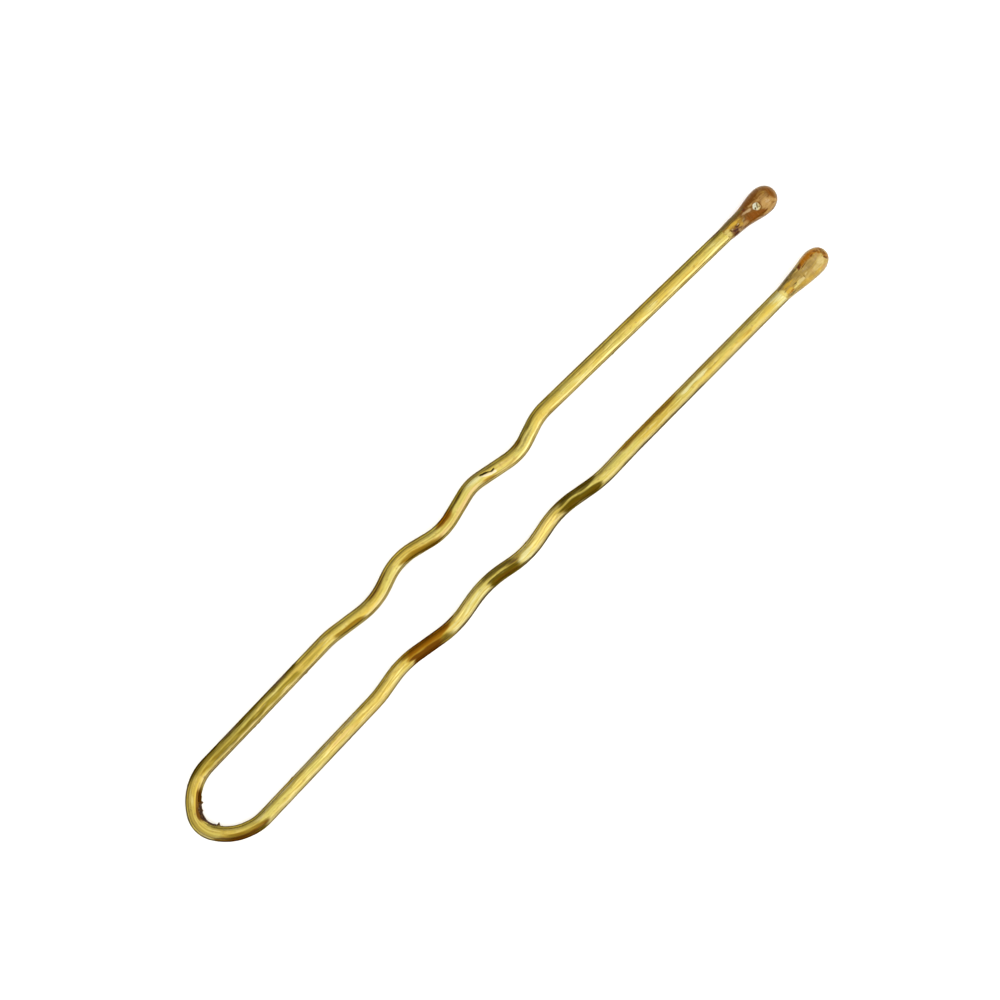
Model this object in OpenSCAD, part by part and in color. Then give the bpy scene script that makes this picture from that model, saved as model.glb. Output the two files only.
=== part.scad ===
// A French hair pin: one springy wire bent double, with waved legs and a hard drop on each end.
// Millimetres. It lies as it rests on a table: +X from the bow to the tips, +Y to the left leg, +Z up.

/* [Pin] */
// Overall length, from the bow to the end of the left drop
pin_l = 64.4; // [62:0.1:80]
// Spacing of the legs beside the bow, from wire centre to wire centre
bow_w = 5.85; // [5.4:0.05:8]
// Spacing of the legs at the tips, from wire centre to wire centre
tip_w = 6.15; // [5.4:0.05:8]
// How much further the left leg reaches than the right one
right_short = 0.55; // [0:0.05:2]
// Diameter of the wire
wire_d = 1.18; // [0.9:0.01:1.5]

/* [Bow] */
// Bend radius at the nose of the bow
nose_r = 1.8; // [1.4:0.1:2.4]
// Bend radius of the bow's shoulders
shoulder_r = 3.9; // [3:0.1:4.4]
// How far the nose lies to the left of the pin's middle, as a share of half the bow's width
nose_side = 0.05; // [-0.1:0.01:0.1]

/* [Waves] */
// Where the waves begin, from the outside of the bow
wave_start = 16.8; // [12:0.1:20]
// Length of the waved stretch
wave_l = 26; // [22:0.5:30]
// How deep the left leg's waves are
left_wave_h = 1; // [0.6:0.05:1.3]
// How deep the right leg's waves are
right_wave_h = 0.7; // [0.4:0.05:1]
// Bend radius of the left leg's waves
left_wave_r = 4.6; // [3:0.1:6]
// Bend radius of the right leg's waves
right_wave_r = 8; // [5:0.1:9]

/* [Drops] */
// Length of the left drop
left_drop_l = 4.75; // [4:0.05:6]
// Diameter of the left drop at its fattest
left_drop_d = 2.1; // [1.9:0.05:2.6]
// Length of the right drop
right_drop_l = 4.4; // [4:0.05:6]
// Diameter of the right drop at its fattest
right_drop_d = 1.95; // [1.9:0.05:2.6]
// How far the wire reaches into a drop
drop_grip = 1.7; // [1:0.1:2.2]
// How far the left drop leans in from its leg, in degrees
left_drop_lean = 1.5; // [0:0.1:3]
// How far the right drop leans in from its leg, in degrees
right_drop_lean = 0.7; // [0:0.1:3]
// Thickness of the drop's edge on the wire
drop_edge = 0.05; // [0.04:0.01:0.1]
// Clearance between the wire and the drop around it
drop_gap = 0.02; // [0.01:0.01:0.04]

/* [Hidden] */
$fn = 64;

// Columns of the bow and wave tables: how far along, how far out, and the bend radius.
ALONG = 0;
OUT = 1;
BEND = 2;

// The bow's shoulders, from the nose's corner, as shares of half the bow's width and of shoulder_r.
LEFT_BOW = [[0.70, 0.99, 1.00]];
RIGHT_BOW = [[0.50, 0.72, 1.00], [1.20, 0.985, 0.95]];

// The corners of the waves: shares of wave_l, of the leg's wave depth and of its wave radius.
// Out is counted from the straight line that the leg would take without waves.
LEFT_WAVES = [
    [0.020, 0.15, 1.50],
    [0.185, -0.52, 1.30],
    [0.315, 0.65, 1.05],
    [0.465, -0.38, 1.05],
    [0.615, 0.55, 0.80],
    [0.780, -0.35, 0.90],
    [0.895, 0.62, 1.00],
];
RIGHT_WAVES = [
    [0.000, -0.48, 1.00],
    [0.115, -1.20, 1.00],
    [0.300, 0.00, 1.00],
    [0.445, -0.98, 1.10],
    [0.590, 0.13, 0.95],
    [0.740, -0.96, 1.00],
    [0.890, 0.08, 1.20],
    [1.020, -0.04, 1.00],
];

// The outline of a drop behind its round end: shares of its length from the neck,
// and of the way from the neck's radius to the full one.
LEFT_TAPER = [
    [0.00, 0.00], [0.12, 0.01], [0.22, 0.07], [0.32, 0.16], [0.42, 0.36],
    [0.50, 0.58], [0.58, 0.80], [0.64, 0.92], [0.69, 0.98], [0.75, 1.00],
];
RIGHT_TAPER = [
    [0.00, 0.00], [0.09, 0.02], [0.18, 0.15], [0.27, 0.32], [0.36, 0.47],
    [0.44, 0.60], [0.51, 0.74], [0.58, 0.88], [0.64, 0.95], [0.72, 1.00],
];
// Flats along the round end of a drop
CAP_STEPS = 8;

LEFT = 1;
RIGHT = -1;
wire_r = wire_d / 2;
// How much the wire swells in a bend, on its radius
BEND_SWELL = 0.004;
// How far the end of a straight reaches into the bend beside it
STRAIGHT_LAP = 0.02;
// The most of a straight that the two bends at its ends may use up
STRAIGHT_SHARE = 0.98;

function unit(v) = v / norm(v);
function heading(v) = atan2(v.y, v.x);

// Half the spacing of the legs at x, measured from the outside of the bow.
function half_spacing(x) = (bow_w + (tip_w - bow_w) * x / pin_l) / 2;

// The bow's corners, from the corner of the nose outwards.
function shoulder(row, side) = [row[ALONG], side * row[OUT] - nose_side] * bow_w / 2;
to_left = shoulder(LEFT_BOW[0], LEFT);
to_right = shoulder(RIGHT_BOW[0], RIGHT);
nose_half_angle = acos(unit(to_left) * unit(to_right)) / 2;
nose_centre = unit(unit(to_left) + unit(to_right)) * nose_r / sin(nose_half_angle);
// The nose's corner lies where its bend just touches the pin's end.
nose = [wire_r + nose_r - nose_centre.x, nose_side * bow_w / 2];

function bow_corners(rows, side) = [
    for (row = rows) concat(nose + shoulder(row, side), shoulder_r * row[BEND])
];
function wave_corners(rows, side, depth, radius) = [
    for (row = rows)
        let (x = wave_start + wave_l * row[ALONG])
        [x, side * (half_spacing(x) + depth * row[OUT]), radius * row[BEND]]
];
function reversed(list) = [for (i = [len(list) - 1 : -1 : 0]) list[i]];

// Where the wire ends, inside its drop.
function wire_end(x, side) = [x, side * half_spacing(x), 0];
left_end = wire_end(pin_l - left_drop_l + drop_grip, LEFT);
right_end = wire_end(pin_l - right_short - right_drop_l + drop_grip, RIGHT);

// The whole wire as one line of corners, from the left tip round the bow to the right tip.
corners = concat(
    [left_end],
    reversed(wave_corners(LEFT_WAVES, LEFT, left_wave_h, left_wave_r)),
    reversed(bow_corners(LEFT_BOW, LEFT)),
    [concat(nose, nose_r)],
    bow_corners(RIGHT_BOW, RIGHT),
    wave_corners(RIGHT_WAVES, RIGHT, right_wave_h, right_wave_r),
    [right_end]
);
last = len(corners) - 1;

function at(i) = [corners[i].x, corners[i].y];
function way(i) = unit(at(i + 1) - at(i));
function straight_l(i) = norm(at(i + 1) - at(i));
function turn(i) = acos(min(1, way(i - 1) * way(i)));
function wanted_tangent(i) = i == 0 || i == last ? 0 : corners[i].z * tan(turn(i) / 2);
// Two bends that would meet on a short straight are both made tighter, so that they fit.
function room(i) = STRAIGHT_SHARE * straight_l(i) / (wanted_tangent(i) + wanted_tangent(i + 1));
function tangent(i) = wanted_tangent(i) == 0 ? 0 : wanted_tangent(i) * min(1, room(i - 1), room(i));
function bend_r(i) = tangent(i) / tan(turn(i) / 2);
function bends_left(i) = cross(way(i - 1), way(i)) > 0;
function bend_centre(i) = at(i) + unit(way(i) - way(i - 1)) * bend_r(i) / cos(turn(i) / 2);
function bend_start(i) = bends_left(i) ? heading(way(i - 1)) - 90 : heading(way(i)) + 90;
function bend_middle(i) = bend_centre(i) + unit(at(i) - bend_centre(i)) * bend_r(i);

module bend(i) {
    translate(bend_centre(i))
        rotate(bend_start(i))
            rotate_extrude(angle = turn(i))
                translate([bend_r(i), 0])
                    circle(r = wire_r + BEND_SWELL);
}

module straight(i) {
    before = tangent(i) - (i == 0 ? 0 : STRAIGHT_LAP);
    after = tangent(i + 1) - (i == last - 1 ? 0 : STRAIGHT_LAP);
    translate(at(i) + way(i) * before)
        rotate([0, 90, heading(way(i))])
            cylinder(r = wire_r, h = straight_l(i) - before - after);
}

// A drop's neck, where it starts on the wire, and the way its leg runs there.
left_way = -way(0);
right_way = way(last - 1);
left_neck = at(0) - left_way * drop_grip;
right_neck = at(last) - right_way * drop_grip;
left_lean = heading(left_way) - left_drop_lean;
right_lean = heading(right_way) + right_drop_lean;
bore_r = wire_r + drop_gap;
neck_r = bore_r + drop_edge;

function taper_points(rows, length, radius) = [
    for (row = rows) [neck_r + (radius - neck_r) * row[1], length * row[0]]
];
function cap_points(start, length, radius) = [
    for (i = [1 : CAP_STEPS])
        let (a = 90 * i / CAP_STEPS)
        [i == CAP_STEPS ? 0 : radius * cos(a), start + (length - start) * sin(a)]
];
function cap_start(rows, length) = length * rows[len(rows) - 1][0];

// A drop lies along its own leaning axis, and the hole in it lies along the wire.
module drop(rows, length, radius, neck, lean, wire_heading) {
    outline = concat(
        [[0, 0]],
        taper_points(rows, length, radius),
        cap_points(cap_start(rows, length), length, radius)
    );
    difference() {
        translate(neck)
            rotate([0, 90, lean])
                rotate_extrude()
                    polygon(outline);
        translate(neck)
            rotate([0, 90, wire_heading])
                translate([0, 0, -drop_grip])
                    cylinder(r = bore_r, h = 2 * drop_grip + drop_gap);
    }
}

// The pin rests on the two drops and on the bow's shoulder beside the thinner drop.
// These are the places that touch, seen from above, and each radius that stands on the table.
function fattest(rows, length, neck, lean) = neck + cap_start(rows, length) * [cos(lean), sin(lean)];
left_foot = fattest(LEFT_TAPER, left_drop_l, left_neck, left_lean);
right_foot = fattest(RIGHT_TAPER, right_drop_l, right_neck, right_lean);
left_r = left_drop_d / 2;
right_r = right_drop_d / 2;
nose_at = 1 + len(LEFT_WAVES) + len(LEFT_BOW);
bow_foot = left_r > right_r ? bend_middle(nose_at + len(RIGHT_BOW)) : bend_middle(nose_at - len(LEFT_BOW));
rest_normal = unit(cross(
    concat(right_foot, -right_r) - concat(bow_foot, -wire_r),
    concat(left_foot, -left_r) - concat(bow_foot, -wire_r)
));
rest_pitch = atan2(rest_normal.x, rest_normal.z);
rest_roll = asin(rest_normal.y);

// The pin's furthest reach to each side, which puts its middle on the X axis.
bend_ys = [for (i = [1 : last - 1]) bend_middle(i).y];
left_reach = max(max(bend_ys) + wire_r, left_foot.y + left_r);
right_reach = min(min(bend_ys) - wire_r, right_foot.y - right_r);
middle_y = (left_reach + right_reach) / 2;

module at_rest() {
    translate([-pin_l / 2, -middle_y, wire_r])
        translate(bow_foot)
            rotate([rest_roll, -rest_pitch, 0])
                translate(-bow_foot)
                    children();
}

module wire() {
    color([0.80, 0.68, 0.27])
        at_rest()
            union() {
                for (i = [1 : last - 1])
                    bend(i);
                for (i = [0 : last - 1])
                    straight(i);
            }
}

module left_tip_drop() {
    color([0.66, 0.42, 0.16])
        at_rest()
            drop(LEFT_TAPER, left_drop_l, left_r, left_neck, left_lean, heading(left_way));
}

module right_tip_drop() {
    color([0.74, 0.54, 0.24])
        at_rest()
            drop(RIGHT_TAPER, right_drop_l, right_r, right_neck, right_lean, heading(right_way));
}

wire();
left_tip_drop();
right_tip_drop();
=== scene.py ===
import math

import bpy
import numpy as np
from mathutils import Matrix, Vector, noise


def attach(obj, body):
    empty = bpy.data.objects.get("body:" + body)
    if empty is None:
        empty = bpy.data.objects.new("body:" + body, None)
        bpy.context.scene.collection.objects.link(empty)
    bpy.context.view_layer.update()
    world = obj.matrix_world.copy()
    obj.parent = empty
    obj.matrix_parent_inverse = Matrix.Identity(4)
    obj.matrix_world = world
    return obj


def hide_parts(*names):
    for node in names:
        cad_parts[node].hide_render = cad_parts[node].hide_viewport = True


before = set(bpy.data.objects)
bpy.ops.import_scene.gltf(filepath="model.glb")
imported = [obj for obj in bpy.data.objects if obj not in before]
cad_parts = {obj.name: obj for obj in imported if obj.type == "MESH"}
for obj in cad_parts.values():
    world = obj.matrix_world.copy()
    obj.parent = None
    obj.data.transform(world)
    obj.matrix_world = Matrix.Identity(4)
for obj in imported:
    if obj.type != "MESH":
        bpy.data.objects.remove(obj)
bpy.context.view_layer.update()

MM = 0.001
LEFT, RIGHT = 1, -1

# The wire, in millimetres: the same corners as the frame's wire
PIN_L = 64.4
BOW_W = 5.85
TIP_W = 6.15
RIGHT_SHORT = 0.55
WIRE_R = 0.59
NOSE_R = 1.8
SHOULDER_R = 3.9
NOSE_SIDE = 0.05
WAVE_START = 16.8
WAVE_L = 26.0
WAVE_DEPTH = {LEFT: 1.0, RIGHT: 0.7}
WAVE_R = {LEFT: 4.6, RIGHT: 8.0}
STRAIGHT_SHARE = 0.98

# Shares of half the bow's width and of SHOULDER_R: along, out, bend radius
BOW_CORNERS = {
    LEFT: [(0.70, 0.99, 1.00)],
    RIGHT: [(0.50, 0.72, 1.00), (1.20, 0.985, 0.95)],
}
# Shares of WAVE_L, of the leg's wave depth and of its wave radius: along, out, bend radius
WAVE_CORNERS = {
    LEFT: [
        (0.020, 0.15, 1.50),
        (0.185, -0.52, 1.30),
        (0.315, 0.65, 1.05),
        (0.465, -0.38, 1.05),
        (0.615, 0.55, 0.80),
        (0.780, -0.35, 0.90),
        (0.895, 0.62, 1.00),
    ],
    RIGHT: [
        (0.000, -0.48, 1.00),
        (0.115, -1.20, 1.00),
        (0.300, 0.00, 1.00),
        (0.445, -0.98, 1.10),
        (0.590, 0.13, 0.95),
        (0.740, -0.96, 1.00),
        (0.890, 0.08, 1.20),
        (1.020, -0.04, 1.00),
    ],
}

# The drops, in millimetres and degrees
DROP_L = {LEFT: 4.75, RIGHT: 4.4}
DROP_R = {LEFT: 1.05, RIGHT: 0.975}
DROP_LEAN = {LEFT: 1.5, RIGHT: 0.7}
DROP_GRIP = 1.7
NECK_R = 0.66
# Shares of a drop's length, and of the way from the neck's radius to the full one
DROP_TAPER = {
    LEFT: [(0.00, 0.00), (0.12, 0.01), (0.22, 0.07), (0.32, 0.16), (0.42, 0.36),
           (0.50, 0.58), (0.58, 0.80), (0.64, 0.92), (0.69, 0.98), (0.75, 1.00)],
    RIGHT: [(0.00, 0.00), (0.09, 0.02), (0.18, 0.15), (0.27, 0.32), (0.36, 0.47),
            (0.44, 0.60), (0.51, 0.74), (0.58, 0.88), (0.64, 0.95), (0.72, 1.00)],
}

# The photograph's view: straight down, with the pin rising to the right
PHOTO_HEADING = math.radians(45.51)
PHOTO_CENTRE = (1.372, 1.155)
PHOTO_WIDTH = 74.68
CAMERA_HEIGHT = 0.6
SENSOR = 36.0


# The wire's middle line

def unit(v):
    return v / np.linalg.norm(v)


def half_spacing(x):
    return (BOW_W + (TIP_W - BOW_W) * x / PIN_L) / 2


def wire_corners():
    """The corners from the left tip round the bow to the right tip: x from the bow's outside, y and
    bend radius."""
    def shoulder(row, side):
        return np.array([row[0], side * row[1] - NOSE_SIDE]) * BOW_W / 2

    to_left = unit(shoulder(BOW_CORNERS[LEFT][0], LEFT))
    to_right = unit(shoulder(BOW_CORNERS[RIGHT][0], RIGHT))
    half_angle = math.acos(to_left @ to_right) / 2
    centre_x = (unit(to_left + to_right) * NOSE_R / math.sin(half_angle))[0]
    nose = np.array([WIRE_R + NOSE_R - centre_x, NOSE_SIDE * BOW_W / 2])

    def leg(side):
        rows = [(*(nose + shoulder(row, side)), SHOULDER_R * row[2]) for row in BOW_CORNERS[side]]
        for along, out, bend in WAVE_CORNERS[side]:
            x = WAVE_START + WAVE_L * along
            y = side * (half_spacing(x) + WAVE_DEPTH[side] * out)
            rows.append((x, y, WAVE_R[side] * bend))
        short = RIGHT_SHORT if side == RIGHT else 0
        end = PIN_L - short - DROP_L[side] + DROP_GRIP
        return rows + [(end, side * half_spacing(end), 0)]

    return np.array(leg(LEFT)[::-1] + [(*nose, NOSE_R)] + leg(RIGHT))


class Path:
    """The middle line as straights and arcs. Places on it are lengths along the wire in millimetres from
    the nose: minus on the left leg and plus on the right one."""

    def __init__(self, corners):
        at, bend = corners[:, :2], corners[:, 2]
        way = np.diff(at, axis=0)
        length = np.linalg.norm(way, axis=1)
        way /= length[:, None]
        turn = np.zeros(len(at))
        side = np.zeros(len(at))
        turn[1:-1] = np.arccos(np.clip((way[:-1] * way[1:]).sum(1), -1, 1))
        side[1:-1] = np.sign(way[:-1, 0] * way[1:, 1] - way[:-1, 1] * way[1:, 0])
        wanted = bend * np.tan(turn / 2)
        room = STRAIGHT_SHARE * length / (wanted[:-1] + wanted[1:])
        tangent = np.zeros(len(at))
        for i in range(1, len(at) - 1):
            tangent[i] = wanted[i] * min(1, room[i - 1], room[i])
        heading = [math.atan2(y, x) for x, y in way]
        rows = []
        for i in range(len(at) - 1):
            if i > 0:
                radius = tangent[i] / math.tan(turn[i] / 2)
                start = at[i] - way[i - 1] * tangent[i]
                rows.append((radius * turn[i], *start, heading[i - 1], side[i] / radius))
            straight = length[i] - tangent[i] - tangent[i + 1]
            rows.append((straight, *(at[i] + way[i] * tangent[i]), heading[i], 0.0))
        rows = np.array(rows)
        self.start, self.heading, self.curve = rows[:, 1:3], rows[:, 3], rows[:, 4]
        self.begins = np.concatenate([[0], np.cumsum(rows[:-1, 0])])
        nose_corner = 1 + len(WAVE_CORNERS[LEFT]) + len(BOW_CORNERS[LEFT])
        nose_arc = 2 * nose_corner - 1
        nose_at = self.begins[nose_arc] + rows[nose_arc, 0] / 2
        self.begins -= nose_at
        self.ends = {LEFT: -nose_at, RIGHT: rows[:, 0].sum() - nose_at}

    def at(self, s):
        """Points and headings at the lengths s."""
        s = np.asarray(s, float)
        i = np.clip(np.searchsorted(self.begins, s, "right") - 1, 0, len(self.begins) - 1)
        d = s - self.begins[i]
        turned = self.curve[i] * d
        chord = d * np.sinc(turned / 2 / math.pi)
        heading = self.heading[i] + turned / 2
        point = self.start[i] + chord[:, None] * np.stack([np.cos(heading), np.sin(heading)], 1)
        return point, self.heading[i] + turned


path = Path(wire_corners())

# The plane of the wire's middle line and the pin's place in the row, read from the frame's own wire
LINE_POINTS = 4000
cad_wire = np.array([v.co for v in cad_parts["wire"].data.vertices], float) / MM
plane = np.linalg.lstsq(np.c_[cad_wire[:, :2], np.ones(len(cad_wire))], cad_wire[:, 2], rcond=None)[0]
plane_up = unit(np.array([-plane[0], -plane[1], 1.0]))
line = path.at(np.linspace(path.ends[LEFT], path.ends[RIGHT], LINE_POINTS))[0]
cad_middle_y = (cad_wire[:, 1].min() + cad_wire[:, 1].max()) / 2
shift = np.array([-PIN_L / 2, cad_middle_y - (line[:, 1].min() + line[:, 1].max()) / 2])


def lifted(xy):
    """Points of the pin's own plane, in the row's millimetres."""
    placed = xy + shift
    return np.c_[placed, placed @ plane[:2] + plane[2]]


# Helpers for meshes and their marks

# How far the noise of one seed lies from that of the next
SEED_STEP = (17.3, 5.1, 11.7)
# Where the soft edge of a patch begins and ends, in shares of its fade
PATCH_EDGE = (0.3, 1.7)
# Where the soft edge of a blot begins and ends, in shares of its half length and half width
BLOT_EDGE = (0.60, 1.60)
# The same for a stroke, in shares of its half width, and for a lump, in shares of its radius
STROKE_EDGE = (0.6, 1.4)
LUMP_EDGE = (0.1, 1.0)


def new_piece(name, vertices, faces):
    mesh = bpy.data.meshes.new(name)
    mesh.from_pydata((vertices * MM).tolist(), [], faces)
    mesh.polygons.foreach_set("use_smooth", [True] * len(mesh.polygons))
    mesh.update()
    piece = bpy.data.objects.new(name, mesh)
    bpy.context.scene.collection.objects.link(piece)
    return piece


def tube_faces(n_rings, sides):
    """Quads between rings of vertices, closed at both ends by fans to two last vertices."""
    first, last = n_rings * sides, n_rings * sides + 1
    faces = []
    for i in range(n_rings - 1):
        for j in range(sides):
            k = (j + 1) % sides
            faces.append((i * sides + j, i * sides + k, (i + 1) * sides + k, (i + 1) * sides + j))
    top = (n_rings - 1) * sides
    for j in range(sides):
        k = (j + 1) % sides
        faces.append((first, k, j))
        faces.append((last, top + j, top + k))
    return faces


def write_field(piece, name, values):
    layer = piece.data.attributes.new(name, "FLOAT", "POINT")
    layer.data.foreach_set("value", np.asarray(values, np.float32))


def write_place(piece, name, vectors):
    layer = piece.data.attributes.new(name, "FLOAT_VECTOR", "POINT")
    layer.data.foreach_set("vector", np.asarray(vectors, np.float32).ravel())


def noise_at(points, scale, seed):
    """Smooth noise from about -1 to 1 at each of the points. The scale is in changes per millimetre."""
    offset = Vector([seed * step for step in SEED_STEP])
    return np.array([noise.noise(Vector(p) + offset) for p in points * np.asarray(scale)])


def fade(x, begin, end):
    t = np.clip((x - begin) / (end - begin), 0, 1)
    return t * t * (3 - 2 * t)


def soft_patch(x, y, x_range, y_range, x_fade, y_fade):
    """1 inside a rounded patch and 0 outside it. Its soft edges reach as far in as they reach out."""
    def beyond(v, v_range, v_fade):
        middle, half = sum(v_range) / 2, abs(v_range[1] - v_range[0]) / 2
        return np.maximum(0, np.abs(v - middle) - max(0, half - v_fade)) / v_fade

    return 1 - fade(np.hypot(beyond(x, x_range, x_fade), beyond(y, y_range, y_fade)), *PATCH_EDGE)


# The marks on the wire: finish, leg, from and to in millimetres from the nose, and from and to in
# degrees round the wire from its top, where plus is the photo's lower right; then the strength
# Some of these marks are tarnish, scuffs and grime; many are painted light and shade that stand in for
# reflections along the wire.
WIRE_MARKS = [
    # The dull bands along the upper side of the left leg and at the start of the right leg are painted
    # shade; the shorter dull patches are partly tarnish and partly painted shade.
    ("dull", LEFT, 0, 62, -70, -30, 0.50),
    ("dull", LEFT, 4.2, 15.0, -9, 40, 0.85),
    ("dull", LEFT, 14.5, 17.5, -8, 20, 0.50),
    ("dull", LEFT, 3.6, 10.4, -50, 0, 0.55),
    ("dull", LEFT, 21.8, 25.5, -36, 8, 0.40),
    ("dull", LEFT, 59.6, 61.5, -40, 50, 0.35),
    ("dull", RIGHT, 0, 5, -70, -34, 0.40),
    ("dull", RIGHT, 29.6, 32.8, -20, 2, 0.55),
    ("dull", RIGHT, 37.4, 40.4, -16, 4, 0.45),
    # Painted reflection: a paler band along the lower side of both legs.
    ("soft", LEFT, 0, 62, 22, 75, 0.60),
    ("soft", RIGHT, 0, 62, 20, 75, 0.60),
    # Painted reflection: a greyer band along the upper side of the right leg.
    ("painted_grey_reflection", RIGHT, 5.5, 16.0, -60, -32, 0.70),
    ("painted_grey_reflection", RIGHT, 24.8, 62, -62, -34, 0.45),
    # Painted highlights: brighter gold where the wire catches the light.
    ("painted_gold_highlight", LEFT, 35.2, 62, 26, 60, 0.55),
    ("painted_gold_highlight", LEFT, 12.0, 26.0, 38, 56, 0.35),
    ("painted_gold_highlight", LEFT, 44.5, 51.5, -22, 6, 0.30),
    ("painted_gold_highlight", RIGHT, 7.0, 15.0, -38, 42, 0.30),
    ("painted_gold_highlight", RIGHT, 15.0, 20.4, -42, 30, 0.36),
    ("painted_gold_highlight", RIGHT, 25.4, 29.2, -46, -8, 0.50),
    ("painted_gold_highlight", RIGHT, 33.4, 37.0, -46, 22, 0.50),
    ("painted_gold_highlight", RIGHT, 43.0, 60.0, -44, -16, 0.30),
    # Pink tint, partly painted highlight.
    ("rose", LEFT, 3.4, 12.8, 34, 64, 0.35),
    ("rose", LEFT, 33.0, 34.6, 2, 24, 0.45),
    ("rose", LEFT, 36.2, 38.0, -12, 8, 0.40),
    ("rose", LEFT, 28.4, 34.2, 8, 48, 0.50),
    ("rose", RIGHT, 12.5, 15.5, -4, 16, 0.45),
    # Painted shade along both rims of the wire, stronger in places.
    ("edge", LEFT, -2, 64, -114, -52, 0.50),
    ("edge", LEFT, -2, 64, 58, 114, 0.40),
    ("edge", LEFT, 3.4, 13.0, 66, 110, 0.80),
    ("edge", LEFT, 0, 9.0, -114, -48, 0.80),
    ("edge", LEFT, 33.2, 36.4, -110, -38, 0.50),
    ("edge", RIGHT, -2, 64, -114, -54, 0.50),
    ("edge", RIGHT, -2, 64, 56, 114, 0.60),
    ("edge", RIGHT, 25.0, 52.0, 48, 114, 0.75),
    ("edge", RIGHT, 0, 1.8, 52, 114, 0.80),
    # The dark olive, ochre, umber and russet patches are partly tarnish and partly painted shade; the long
    # olive rows on the upper rim are painted shade.
    ("olive", LEFT, 3.2, 15.2, -100, -38, 0.75),
    ("olive", LEFT, 5.0, 11.2, -2, 34, 0.50),
    ("olive", LEFT, 18.3, 21.3, 8, 50, 0.80),
    ("olive", LEFT, 26.1, 29.4, 10, 60, 0.85),
    ("olive", LEFT, 31.4, 33.4, -75, -22, 0.6),
    ("olive", LEFT, 36.8, 43.0, -100, -36, 0.50),
    ("olive", LEFT, 40.0, 41.3, -75, -25, 0.6),
    ("olive", LEFT, 59.3, 61.5, -95, -36, 0.6),
    ("olive", RIGHT, 2.0, 5.5, 0, 70, 0.75),
    ("olive", RIGHT, 3.2, 5.3, -20, 10, 0.40),
    ("olive", RIGHT, 24.0, 24.8, 0, 60, 0.75),
    ("olive", RIGHT, 29.3, 32.8, -4, 58, 1.0),
    ("olive", RIGHT, 29.3, 32.3, -90, -16, 0.60),
    ("olive", RIGHT, 37.1, 40.8, -2, 56, 1.0),
    ("olive", RIGHT, 37.2, 40.9, -80, -15, 0.75),
    ("ochre", LEFT, 2.0, 3.8, 14, 60, 0.45),
    ("ochre", LEFT, 3.9, 6.2, -8, 18, 0.45),
    ("ochre", LEFT, 18.1, 21.3, 6, 44, 0.60),
    ("ochre", LEFT, 26.0, 29.5, 6, 55, 0.60),
    ("ochre", LEFT, 29.8, 31.6, -22, 4, 0.50),
    ("ochre", LEFT, 34.9, 36.0, 18, 46, 0.80),
    ("ochre", LEFT, 37.0, 38.2, 14, 34, 0.45),
    ("ochre", RIGHT, 1.5, 5.3, -6, 30, 0.50),
    ("ochre", RIGHT, 20.5, 22.0, -70, -14, 0.8),
    ("ochre", RIGHT, 21.0, 24.6, -14, 10, 0.85),
    ("ochre", RIGHT, 43.4, 49.6, -72, -22, 0.65),
    ("ochre", RIGHT, 55.8, 57.0, -5, 22, 0.5),
    ("umber", LEFT, 0.1, 3.1, 17, 75, 0.9),
    ("umber", LEFT, 22.0, 25.0, -80, -18, 0.6),
    ("umber", LEFT, 27.5, 29.2, 44, 70, 0.55),
    ("umber", LEFT, 29.7, 31.7, -90, -42, 0.8),
    ("umber", LEFT, 31.5, 33.2, -80, -28, 0.4),
    ("umber", LEFT, 30.9, 34.1, 54, 82, 0.40),
    ("umber", LEFT, 38.0, 39.3, -80, -24, 0.6),
    ("umber", RIGHT, 29.6, 32.6, 16, 44, 0.55),
    ("umber", RIGHT, 37.4, 40.5, 16, 44, 0.40),
    ("umber", RIGHT, 1.2, 4.6, 20, 80, 0.75),
    ("umber", RIGHT, 4.7, 5.4, 14, 40, 0.6),
    ("umber", RIGHT, 21.4, 25.8, -100, -50, 0.85),
    ("umber", RIGHT, 21.3, 24.2, 2, 80, 1.0),
    ("russet", LEFT, 29.7, 31.7, -60, -16, 0.9),
    ("russet", RIGHT, 21.2, 25.2, -58, -6, 0.95),
    # Pale grey scuffs, and painted highlight streaks.
    ("pale", LEFT, 7.8, 12.2, 44, 66, 0.3),
    ("pale", LEFT, 25.2, 26.2, 15, 60, 0.6),
    ("pale", LEFT, 33.6, 35.0, -36, 4, 0.8),
    ("pale", LEFT, 44.8, 45.6, -5, 48, 0.5),
    ("pale", LEFT, 52.8, 53.3, -20, 30, 0.4),
    ("pale", LEFT, 55.3, 56.0, 0, 50, 0.4),
    ("pale", LEFT, 59.2, 60.7, -35, 40, 0.25),
    ("pale", RIGHT, 5.2, 8.6, 44, 70, 0.4),
    ("pale", RIGHT, 24.8, 29.3, -10, 50, 0.5),
    ("pale", RIGHT, 32.7, 33.6, -60, 50, 0.7),
    ("pale", RIGHT, 49.8, 52.6, -24, 2, 1.0),
    ("pale", RIGHT, 59.3, 60.6, -55, 55, 0.7),
    ("grime", LEFT, 7.0, 8.8, -80, -52, 0.6),
    ("grime", LEFT, 12.9, 13.5, -75, -45, 0.6),
    ("grime", LEFT, 14.2, 16.2, 47, 60, 0.45),
    ("grime", LEFT, 38.1, 40.3, -7, 1, 0.4),
    ("grime", LEFT, 59.9, 60.3, -84, -50, 0.8),
    ("grime", RIGHT, 31.6, 32.1, -22, -14, 0.6),
    ("grime", RIGHT, 36.9, 37.3, 10, 40, 0.3),
]
# How ragged the marks' edges are and how far they fade: millimetres along and degrees round the wire
RAGGED = (0.55, 10)
MARK_FADE = (0.7, 13)
CRUST_FADE = (0.4, 20)
# The bare skin lies a little inside the solid, and is faintly uneven
SKIN_INSET = 0.004
SKIN_RELIEF = 0.003
# The crust inside the bow: from and to along each leg, and from and to in degrees towards the inside
CRUST = {LEFT: (-0.3, 2.05, 42, 110), RIGHT: (-0.3, 1.5, 54, 108)}
CRUST_H = 0.040
CRUST_EDGE = (0.40, 0.75)
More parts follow.
